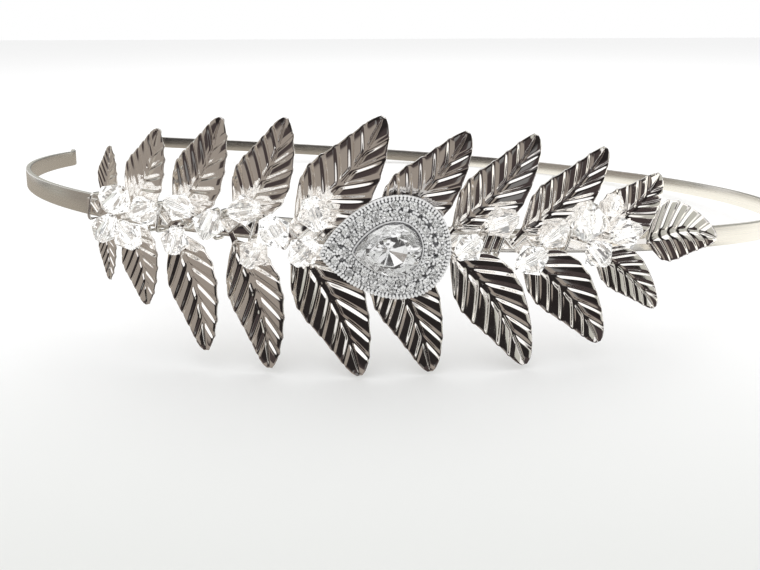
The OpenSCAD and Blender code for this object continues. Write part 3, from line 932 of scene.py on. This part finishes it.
# %% [markdown]
# ## The beads on the branch
# The maker threads the beads on wire and twists them onto the stem one by one, so they sit in
# loose clusters and no two of them point the same way. Each is a copy of the one bead, scaled
# to its size and turned to its own angle, with its hole along the wire.

# %% Beads in their places
# Distance along the arm, height, distance out, diameter, turn and lean
CRYSTALS = [
    (135.4, -1.9, 3.6, 4.0, 60, 8), (133.3, 2.2, 3.9, 4.4, 38, -6),
    (131.0, -2.1, 4.4, 4.0, -52, 10), (128.4, 1.4, 4.5, 4.0, 25, 0),
    (124.8, -2.0, 3.6, 3.8, 75, 5), (124.0, 2.3, 3.8, 3.8, -20, 10),
    (120.0, 0.6, 4.2, 4.0, 65, -8), (115.8, 2.7, 3.7, 4.0, 12, 5),
    (112.0, 0.6, 5.0, 4.4, -58, 0), (114.6, -2.5, 3.9, 4.0, 58, 8),
    (107.6, 2.9, 3.8, 4.4, -68, 0), (108.7, -1.7, 4.0, 4.2, 50, 10),
    (89.6, -0.2, 3.8, 3.8, 40, 0), (86.0, 3.0, 3.9, 4.2, 20, 5),
    (81.9, -1.6, 4.0, 4.2, 32, -8), (79.2, 1.6, 3.6, 4.0, 40, 0),
    (75.6, 3.4, 4.6, 5.0, -75, 25), (73.2, -0.8, 4.0, 4.0, -40, 5),
    (69.6, 1.8, 3.9, 4.2, 15, 0), (71.4, 5.2, 3.1, 3.0, 80, 0)]
for n, (dist, high, out_by, size, turn, lean) in enumerate(CRYSTALS):
    stone = copied(bead, f"bead_{n + 1:02d}")
    along_x = turned("Y", 90) @ Matrix.Scale(size / BEAD_D, 4)
    aimed = turned("Z", turn) @ turned("Y", lean) @ along_x
    finished(stone, stone.name, LIE @ on_arm(dist) @ at(0, high, out_by) @ aimed,
             bead_glass, "clear_crystal", f"crystal_{n + 1:02d}")
bpy.data.objects.remove(bead)
print("beads:", len(CRYSTALS))

# %% [markdown]
# ## Drawn silver wire
# Soft silver-plated wire holds everything. It was pulled through a die, which leaves it smooth
# and slightly satin to the eye, in patches of about a quarter of a millimetre.

# %% Silver wire
GRAINS_PER_METRE = 4000.0
silver_wire, tree, shader, _ = new_material("drawn_silver_wire")
coords = add(tree, "ShaderNodeTexCoord")
grain = add(tree, "ShaderNodeTexNoise", {
    "Vector": coords.outputs["Object"], "Scale": GRAINS_PER_METRE, "Detail": 2.0})
dull = add(tree, "ShaderNodeMapRange", {
    "Value": grain.outputs["Fac"], "To Min": 0.08, "To Max": 0.2})
shader.inputs["Base Color"].default_value = colour("#f1efec")
shader.inputs["Metallic"].default_value = 1.0
tree.links.new(dull.outputs[0], shader.inputs["Roughness"])
print("wire:", silver_wire.name)

# %% [markdown]
# ## Making wire
# A curve with a round section is wire: it passes along a few points and rounds every corner by
# itself, as soft wire does when it is pulled round something. It becomes a mesh at the end.

# %% Helper for wire


def drawn_wire(points, thickness, closed=False):
    data = bpy.data.curves.new("wire", "CURVE")
    data.dimensions, data.bevel_depth, data.bevel_resolution = "3D", thickness / 2, 2
    data.use_fill_caps, data.resolution_u = True, 5
    line = data.splines.new("NURBS")
    line.points.add(len(points) - 1)
    for point, spot in zip(line.points, points):
        point.co = (*spot, 1)
    line.use_cyclic_u, line.use_endpoint_u, line.order_u = closed, not closed, 3
    obj = bpy.data.objects.new("wire", data)
    bpy.context.scene.collection.objects.link(obj)
    start_fresh()
    obj.select_set(True)
    bpy.context.view_layer.objects.active = obj
    bpy.ops.object.convert(target="MESH")
    bpy.ops.object.shade_smooth()
    return bpy.context.object


# %% [markdown]
# ## The wires through the beads
# Each bead has one piece of wire: it runs through the hole, bends over at the end that is
# nearer to the stem, and comes down on the stem's face.

# %% Wires through the beads
WIRE_D, GAP, STEM_FACE, STEM_SEAT = 0.4, 0.1, 1.2, 0.9
PAST_BEAD, BEND_OUT, BEND_IN = 0.3, 0.12, 0.2
wires = []
for dist, high, out_by, size, turn, lean in CRYSTALS:
    reach = size * (BEAD_LEN / BEAD_D) / 2 + PAST_BEAD
    axis = (turned("Z", turn) @ turned("Y", lean)).to_3x3() @ Vector((1, 0, 0))
    middle = Vector((0, high, out_by))
    side = -1 if high * axis.y > 0 else 1
    inner = middle + side * reach * axis
    seat = max(-STEM_SEAT, min(STEM_SEAT, inner.y))
    foot = Vector((inner.x, seat, STEM_FACE + GAP + WIRE_D / 2))
    bend = inner + BEND_OUT * side * axis + BEND_IN * (foot - inner)
    outer = middle - side * reach * axis
    wire = drawn_wire([outer, middle, inner, bend, (bend + foot) / 2, foot], WIRE_D)
    wire.data.transform(on_arm(dist))
    wires.append(wire)
print("wires through beads:", len(wires))
finished(joined(wires, "bead_wires"), "bead_wires", LIE, silver_wire, "silver_wire",
         "crystal_wire")

# %% [markdown]
# ## The turns of wire
# Wire is wound round the strip and the stem together, a turn or two at each place, and that is
# what holds the branch on. Between the turns it runs along the front of the stem, crossing from
# edge to edge.

# %% Turns of wire round band and stem
WRAPS = [141.0, 129.8, 128.7, 121.3, 120.2, 115.6, 114.5, 105.4, 104.2, 94.6, 93.4, 87.1, 86.0,
         84.9, 77.2, 76.1]
SLANT = 0.5
clear_by = WIRE_D / 2 + GAP
top, inside, outside = BAND_WIDTH / 2 + clear_by, -BAND_THICK / 2 - clear_by, STEM_FACE + clear_by
halfway = (outside + inside) / 2
wraps = []
for dist in WRAPS:
    loop = drawn_wire([
        (SLANT, top, outside), (0, 0, outside), (-SLANT, -top, outside),
        (-SLANT / 2, -top, halfway), (-SLANT / 2, -top, inside), (0, 0, inside),
        (SLANT / 2, top, inside), (SLANT / 2, top, halfway)], WIRE_D, closed=True)
    loop.data.transform(on_arm(dist))
    wraps.append(loop)
print("turns of wire:", len(wraps))

# %% Crossings between the turns
NEXT_TURN, TOO_FAR, CROSSING, SWING, SUNK = 1.5, 12, 1.6, 0.75, 0.1
for first, second in zip(WRAPS, WRAPS[1:]):
    if not NEXT_TURN < first - second < TOO_FAR:
        continue
    crossings = max(2, round((first - second) / CROSSING))
    for k in range(crossings):
        ends = []
        for end in (0, 1):
            dist = first + (second - first) * (k + end) / crossings
            ends.append(on_arm(dist) @ Vector((0, SWING * (-1) ** (k + end), outside - SUNK)))
        wraps.append(drawn_wire([ends[0], ends[0].lerp(ends[1], 0.5), ends[1]], WIRE_D))
print("turns and crossings:", len(wraps))
finished(joined(wraps, "binding_turns"), "binding_turns", LIE, silver_wire, "silver_wire",
         "binding_wire")

# %% [markdown]
# ## The pear outline
# The cluster is a cast plate with a bright rim, a second rim round the pear stone, and two rows
# of small round stones between them. All of these follow one outline, a pear: an ellipse that
# is pinched towards one end. One function gives its points at any size.

# %% Pear outlines
CLUSTER_LEN, CLUSTER_W, PEAR_LEN, PEAR_W, STONE_SHIFT = 15.8, 12.6, 8.0, 6.2, 0.3
CLUSTER_DIST, CLUSTER_LOW, CLUSTER_TURN, PINCH = 99.3, -0.8, 8, 0.6
CLUSTER = on_arm(CLUSTER_DIST) @ at(0, CLUSTER_LOW, 0) @ turned("Z", CLUSTER_TURN)


def pear(length, width, steps, shift=0.0):
    shape = []
    for i in range(steps):
        t = 2 * math.pi * i / steps
        shape.append((-length / 2 * math.cos(t), math.sin(t) * abs(math.sin(t / 2)) ** PINCH))
    widest = max(y for _, y in shape)
    return [Vector((x + shift, y * width / 2 / widest, 0)) for x, y in shape]


def pear_plate(length, width, steps, shift=0.0):
    """A filled disc whose edge is moved to the pear's outline."""
    start_fresh()
    bpy.ops.mesh.primitive_circle_add(vertices=steps, radius=1, fill_type="NGON")
    plate = bpy.context.object
    for vertex, spot in zip(plate.data.vertices, pear(length, width, steps, shift)):
        vertex.co = spot
    return plate


print("cluster's middle:", mm(LIE @ CLUSTER.translation))

# %% [markdown]
# ## The cluster's metals
# The ground between the stones is silver plate over a rough casting. Its pits, about a third of
# a millimetre wide, break the reflection into light and dark specks. The rims and grains are
# cast too, but so small and so rounded that to the eye they are a near-white sparkle, so their
# shader is almost a white paint with a trace of metal.

# %% Ground of the setting
GROUND_PER_METRE, PITS_PER_METRE, PIT_DEPTH = 1800.0, 3200.0, 0.0003
ground_plate, tree, shader, _ = new_material("shaded_silver_ground")
coords = add(tree, "ShaderNodeTexCoord")
grain = add(tree, "ShaderNodeTexNoise", {
    "Vector": coords.outputs["Object"], "Scale": GROUND_PER_METRE, "Detail": 2.0})
dull = add(tree, "ShaderNodeMapRange", {
    "Value": grain.outputs["Fac"], "To Min": 0.1, "To Max": 0.25})
hammered = add(tree, "ShaderNodeTexNoise", {
    "Vector": coords.outputs["Object"], "Scale": PITS_PER_METRE, "Detail": 1.0})
pits = add(tree, "ShaderNodeBump", {
    "Height": hammered.outputs["Fac"], "Strength": 1.0, "Distance": PIT_DEPTH})
# The base colour, greyer than the leaves' plate, is painted shade on the ground between the stones
shader.inputs["Base Color"].default_value = colour("#cdcdd0")
shader.inputs["Metallic"].default_value = 1.0
tree.links.new(dull.outputs[0], shader.inputs["Roughness"])
tree.links.new(pits.outputs[0], shader.inputs["Normal"])
print("ground:", ground_plate.name)

# %% Rims and grains of the setting
SKIN_PER_METRE = 2500.0
setting_silver, tree, shader, _ = new_material("cast_silver_setting")
coords = add(tree, "ShaderNodeTexCoord")
grain = add(tree, "ShaderNodeTexNoise", {
    "Vector": coords.outputs["Object"], "Scale": SKIN_PER_METRE, "Detail": 2.0})
dull = add(tree, "ShaderNodeMapRange", {
    "Value": grain.outputs["Fac"], "To Min": 0.3, "To Max": 0.55})
shader.inputs["Base Color"].default_value = colour("#fdfdfd")
shader.inputs["Metallic"].default_value = 0.08
tree.links.new(dull.outputs[0], shader.inputs["Roughness"])
print("rims:", setting_silver.name)

# %% [markdown]
# ## Plate and rims
# The plate is the pear outline pushed up to its thickness. A rim is the same outline with its
# middle inset and cut out, then pushed up, and its edges are bevelled so that they catch light.

# %% Plate and rims
PLATE_LOW, PLATE_THICK, RING_LOW, RING_EDGE = 3.0, 0.7, 3.6, 0.06
RIM_WIDTH, RIM_TOP, COLLAR_WIDTH, COLLAR_TOP, COLLAR_ROOM = 0.2, 4.05, 0.16, 4.5, 0.3


def raised_ring(plate, ring_width, top):
    """A ring of the plate's outline that stands up to a height, with rounded edges."""
    edit(plate, "FACE")
    bpy.ops.mesh.select_all(action="SELECT")
    bpy.ops.mesh.inset(thickness=ring_width)
    bpy.ops.mesh.delete(type="FACE")
    bpy.ops.mesh.select_all(action="SELECT")
    bpy.ops.mesh.extrude_region_move(TRANSFORM_OT_translate={"value": (0, 0, top - RING_LOW)})
    bpy.ops.mesh.select_all(action="SELECT")
    bpy.ops.mesh.normals_make_consistent(inside=False)
    bpy.ops.object.mode_set(mode="OBJECT")
    plate.data.transform(at(0, 0, RING_LOW))
    bevel = plate.modifiers.new("round edges", "BEVEL")
    bevel.width, bevel.segments, bevel.limit_method = RING_EDGE, 3, "ANGLE"
    apply_modifiers(plate)
    bpy.ops.object.shade_smooth_by_angle(angle=math.radians(50))
    return plate


base = pear_plate(CLUSTER_LEN, CLUSTER_W, 64)
edit(base, "FACE")
bpy.ops.mesh.select_all(action="SELECT")
bpy.ops.mesh.extrude_region_move(TRANSFORM_OT_translate={"value": (0, 0, PLATE_THICK)})
done(base, smooth=30)
base.data.transform(at(0, 0, PLATE_LOW))
rim = raised_ring(pear_plate(CLUSTER_LEN, CLUSTER_W, 64), RIM_WIDTH, RIM_TOP)
around_stone = (PEAR_LEN + 2 * COLLAR_ROOM, PEAR_W + 2 * COLLAR_ROOM)
collar = raised_ring(pear_plate(*around_stone, 48, STONE_SHIFT), COLLAR_WIDTH, COLLAR_TOP)
print("plate and rims:", [len(part.data.polygons) for part in (base, rim, collar)], "faces")

# %% [markdown]
# ## The foot
# A low bar under the plate stands on the stem's face and carries the whole cluster. It is a
# plane pushed up to a block, with its edges bevelled.

# %% Foot of the setting
FOOT_LONG, FOOT_WIDE, FOOT_LOW, FOOT_HIGH, FOOT_EDGE = 7, 2.8, 1.3, 1.9, 0.25
start_fresh()
bpy.ops.mesh.primitive_plane_add(size=1)
foot = bpy.context.object
foot.scale = (FOOT_LONG, FOOT_WIDE, 1)
bpy.ops.object.transform_apply(scale=True)
edit(foot, "FACE")
bpy.ops.mesh.select_all(action="SELECT")
bpy.ops.mesh.extrude_region_move(TRANSFORM_OT_translate={"value": (0, 0, FOOT_HIGH)})
bpy.ops.mesh.select_all(action="SELECT")
bpy.ops.mesh.bevel(offset=FOOT_EDGE, segments=2)
done(foot, smooth=30)
foot.data.transform(turned("Z", -CLUSTER_TURN) @ at(0, -CLUSTER_LOW, FOOT_LOW))
print("foot:", len(foot.data.polygons), "faces")

# %% [markdown]
# ## One small round stone
# The small stones are so small that a few facets are enough: a six-sided girdle, a table half
# as wide and turned half a facet, and a point below.

# %% Small round stone
ROUND_D, GIRDLE, ROUND_CROWN, ROUND_TABLE, ROUND_POINT = 1.1, 0.08, 0.2, 0.5, 0.36
start_fresh()
bpy.ops.mesh.primitive_cylinder_add(
    vertices=6, radius=ROUND_D / 2, depth=GIRDLE, end_fill_type="NGON")
brilliant = bpy.context.object
edit(brilliant)
pick(brilliant, lambda co: co.z > 0)
bpy.ops.mesh.extrude_region_move(TRANSFORM_OT_translate={"value": (0, 0, ROUND_CROWN)})
bpy.ops.transform.resize(value=(ROUND_TABLE, ROUND_TABLE, 1), center_override=(0, 0, 0))
bpy.ops.transform.rotate(value=math.radians(30), orient_axis="Z", center_override=(0, 0, 0))
pick(brilliant, lambda co: co.z < 0)
bpy.ops.mesh.extrude_region_move(TRANSFORM_OT_translate={"value": (0, 0, -ROUND_POINT)})
bpy.ops.mesh.merge(type="CENTER")
bpy.ops.mesh.select_all(action="SELECT")
bpy.ops.mesh.quads_convert_to_tris(quad_method="SHORTEST_DIAGONAL")
done(brilliant, smooth=0)
back_with_foil(brilliant, round_zirconia, -GIRDLE / 2)
print("round stone:", len(brilliant.data.polygons), "facets")

# %% [markdown]
# ## Two rows of stones
# A setter works in even steps along a line that is parallel to the rim. The first function
# gives that line and the second the steps. Every stone is turned a different way on its seat,
# as loose stones are, so neighbours never flash together.

# %% Parallel lines and equal steps
# An inset point that comes nearer to the outline than this share of the inset is left out
KEPT_APART = 0.97


def parallel(outline, inset):
    """Outline parallel to another, inside it, or outside it for a negative inset."""
    n = len(outline)
    found = []
    for i in range(n):
        along = (outline[(i + 1) % n] - outline[i - 1]).normalized()
        spot = outline[i] + inset * Vector((along.y, -along.x, 0))
        if inset <= 0 or min((p - spot).length for p in outline) > KEPT_APART * inset:
            found.append(spot)
    return found


def spaced(outline, pitch):
    """Points at equal steps along a closed outline."""
    n = len(outline)
    runs = [0.0]
    for i in range(n):
        runs.append(runs[-1] + (outline[(i + 1) % n] - outline[i]).length)
    count = int(runs[-1] / pitch)
    found = []
    for k in range(count):
        s = k * runs[-1] / count
        i = max(j for j in range(n) if runs[j] <= s)
        part = (s - runs[i]) / (runs[i + 1] - runs[i])
        found.append(outline[i].lerp(outline[(i + 1) % n], part))
    return found


# %% Round stones in their rows
PITCH, RIM_ROOM, ROUND_HIGH, ROUND_TURN, ROUND_LEAN = 1.12, 0.4, 4.26, 137, 10
outer_row = spaced(parallel(pear(CLUSTER_LEN, CLUSTER_W, 48), RIM_ROOM + GAP + ROUND_D / 2), PITCH)
inner_row = spaced(parallel(pear(PEAR_LEN, PEAR_W, 48, STONE_SHIFT),
                            -2 * GAP - COLLAR_ROOM - ROUND_D / 2), PITCH)
stones = []
for n, spot in enumerate(outer_row + inner_row):
    stone = copied(brilliant, "round_stone")
    stone.data.transform(
        at(spot.x, spot.y, ROUND_HIGH) @ turned("Z", ROUND_TURN * n) @ turned("X", ROUND_LEAN))
    stones.append(stone)
bpy.data.objects.remove(brilliant)
finished(joined(stones, "round_stones"), "round_stones", LIE @ CLUSTER, round_zirconia,
         "clear_crystal", "halo_stones")
print("round stones:", len(outer_row), "+", len(inner_row))

# %% [markdown]
# ## Claws and grains
# A setter holds small stones with tiny beads of metal, raised from the plate and pushed over
# their edges. The same grains run along both rims, and fill what is left between the rows. One
# small ball with its lower half drawn down into the plate stands for each.

# %% One grain
GRAIN_R, GRAIN_ROOT, ROOT_BELOW = 0.18, 0.5, -0.05
start_fresh()
bpy.ops.mesh.primitive_uv_sphere_add(segments=8, ring_count=6, radius=GRAIN_R)
claw = bpy.context.object
edit(claw)
pick(claw, lambda co: co.z < ROOT_BELOW)
bpy.ops.transform.translate(value=(0, 0, -GRAIN_ROOT))
done(claw, smooth=80)
print("grain:", len(claw.data.polygons), "faces")

# %% Places of the claws and grains
CLAW_SIDE, FILL_STEP, FILL_CLEAR = 0.36, 0.36, 0.85
# Distance in from an outline and the step along it: on the rim, inside it, round the pear stone
ON_RIM, IN_RIM, ROUND_PEAR, RIM_SUNK = (0.13, 0.46), (0.4, 0.44), (-0.5, 0.44), 0.12
grains = []
for row in (outer_row, inner_row):
    middle = sum(row, Vector()) / len(row)
    for i, spot in enumerate(row):
        between = (spot + row[(i + 1) % len(row)]) / 2
        away = (between - middle).normalized()
        for side in (-CLAW_SIDE, CLAW_SIDE):
            grains.append(between + away * side)
cluster_edge = pear(CLUSTER_LEN, CLUSTER_W, 96)
pear_edge = pear(PEAR_LEN, PEAR_W, 96, STONE_SHIFT)
grains += [spot - Vector((0, 0, RIM_SUNK))
           for spot in spaced(parallel(cluster_edge, ON_RIM[0]), ON_RIM[1])]
grains += spaced(parallel(cluster_edge, IN_RIM[0]), IN_RIM[1])
grains += spaced(parallel(pear_edge, ROUND_PEAR[0]), ROUND_PEAR[1])
# Between the rows, from the stones of the outer one to the nearest of the inner one
for spot in outer_row + [(a + b) / 2 for a, b in zip(outer_row, outer_row[1:])]:
    near = min(inner_row, key=lambda other: (other - spot).length)
    across = (near - spot).length
    count = int((across - FILL_CLEAR) / FILL_STEP)
    grains += [spot.lerp(near, 0.5 + FILL_STEP * (k - (count - 1) / 2) / across)
               for k in range(count)]
print("claws and grains:", len(grains))

# %% Set the grains, and join the setting
GRAIN_HIGH = 4.35
claws = []
for spot in grains:
    twin = copied(claw, "claw")
    twin.data.transform(at(spot.x, spot.y, GRAIN_HIGH + spot.z))
    claws.append(twin)
bpy.data.objects.remove(claw)
for part in (base, foot):
    part.data.materials.append(ground_plate)
for part in [rim, collar] + claws:
    part.data.materials.append(setting_silver)
setting = joined([rim, base, collar, foot] + claws, "pear_mount")
finished(setting, "pear_mount", LIE @ CLUSTER, setting_silver, "silver_plate", "pear_setting")
print("setting:", len(setting.data.polygons), "faces")

# %% [markdown]
# ## The pear stone
# A pear brilliant has a flat table, a crown of facets down to the girdle, and a deep pavilion
# that throws the light back out. It starts as a thin plate, the girdle. Rings of the outline
# are drawn up and down from it, each one smaller, and the first of each set is turned half a
# facet, so that the sides break into triangles.

# %% Helpers for the pear stone
GEM_SIDES, GEM_GIRDLE, GEM_HIGH, HALFWAY_OUT, FOIL_BELOW = 12, 0.15, 5.12, 1.03, -0.05
# Share of the outline, height in millimetres, and whether it is turned half a facet
UPPER_RINGS = [(0.86, 0.5, True), (0.58, 0.95, False)]
LOWER_RINGS = [(0.6, -0.7, True), (0.04, -1.25, False)]


def cut_ring(share, height, halfway):
    outline = pear(PEAR_LEN * share, PEAR_W * share, GEM_SIDES, 0)
    if halfway:
        outline = [(outline[i] + outline[(i + 1) % GEM_SIDES]) / 2 * HALFWAY_OUT
                   for i in range(GEM_SIDES)]
    return [p + Vector((STONE_SHIFT, 0, height)) for p in outline]


def grow(obj, outline, ring, level):
    """Extrudes the face at a level and moves its corners from the outline to the next ring."""
    mesh = bmesh.from_edit_mesh(obj.data)
    for face in mesh.faces:
        face.select_set(all(abs(v.co.z - level) < NEAR for v in face.verts))
    bmesh.update_edit_mesh(obj.data)
    bpy.ops.mesh.extrude_region_move()
    mesh = bmesh.from_edit_mesh(obj.data)
    cap = [f for f in mesh.faces if f.select][0]
    for corner in cap.verts:
        nearest = min(range(len(ring)), key=lambda k: (outline[k] - corner.co).length)
        corner.co = ring[nearest]
    bmesh.update_edit_mesh(obj.data)


# %% Cut the pear stone
gem = pear_plate(PEAR_LEN, PEAR_W, GEM_SIDES, STONE_SHIFT)
edit(gem, "FACE")
bpy.ops.mesh.select_all(action="SELECT")
bpy.ops.mesh.extrude_region_move(TRANSFORM_OT_translate={"value": (0, 0, GEM_GIRDLE)})
for level, rings in ((GEM_GIRDLE, UPPER_RINGS), (0.0, LOWER_RINGS)):
    outline = [p + Vector((0, 0, level)) for p in pear(PEAR_LEN, PEAR_W, GEM_SIDES, STONE_SHIFT)]
    for share, height, halfway in rings:
        ring = cut_ring(share, height, halfway)
        grow(gem, outline, ring, level)
        outline, level = ring, height
bpy.ops.mesh.select_all(action="SELECT")
bpy.ops.mesh.quads_convert_to_tris(quad_method="SHORTEST_DIAGONAL")
done(gem, smooth=0)
back_with_foil(gem, pear_zirconia, FOIL_BELOW)
gem.data.transform(at(0, 0, GEM_HIGH))
finished(gem, "pear_gem", LIE @ CLUSTER, pear_zirconia, "clear_crystal", "pear_stone")
print("pear stone:", len(gem.data.polygons), "facets")
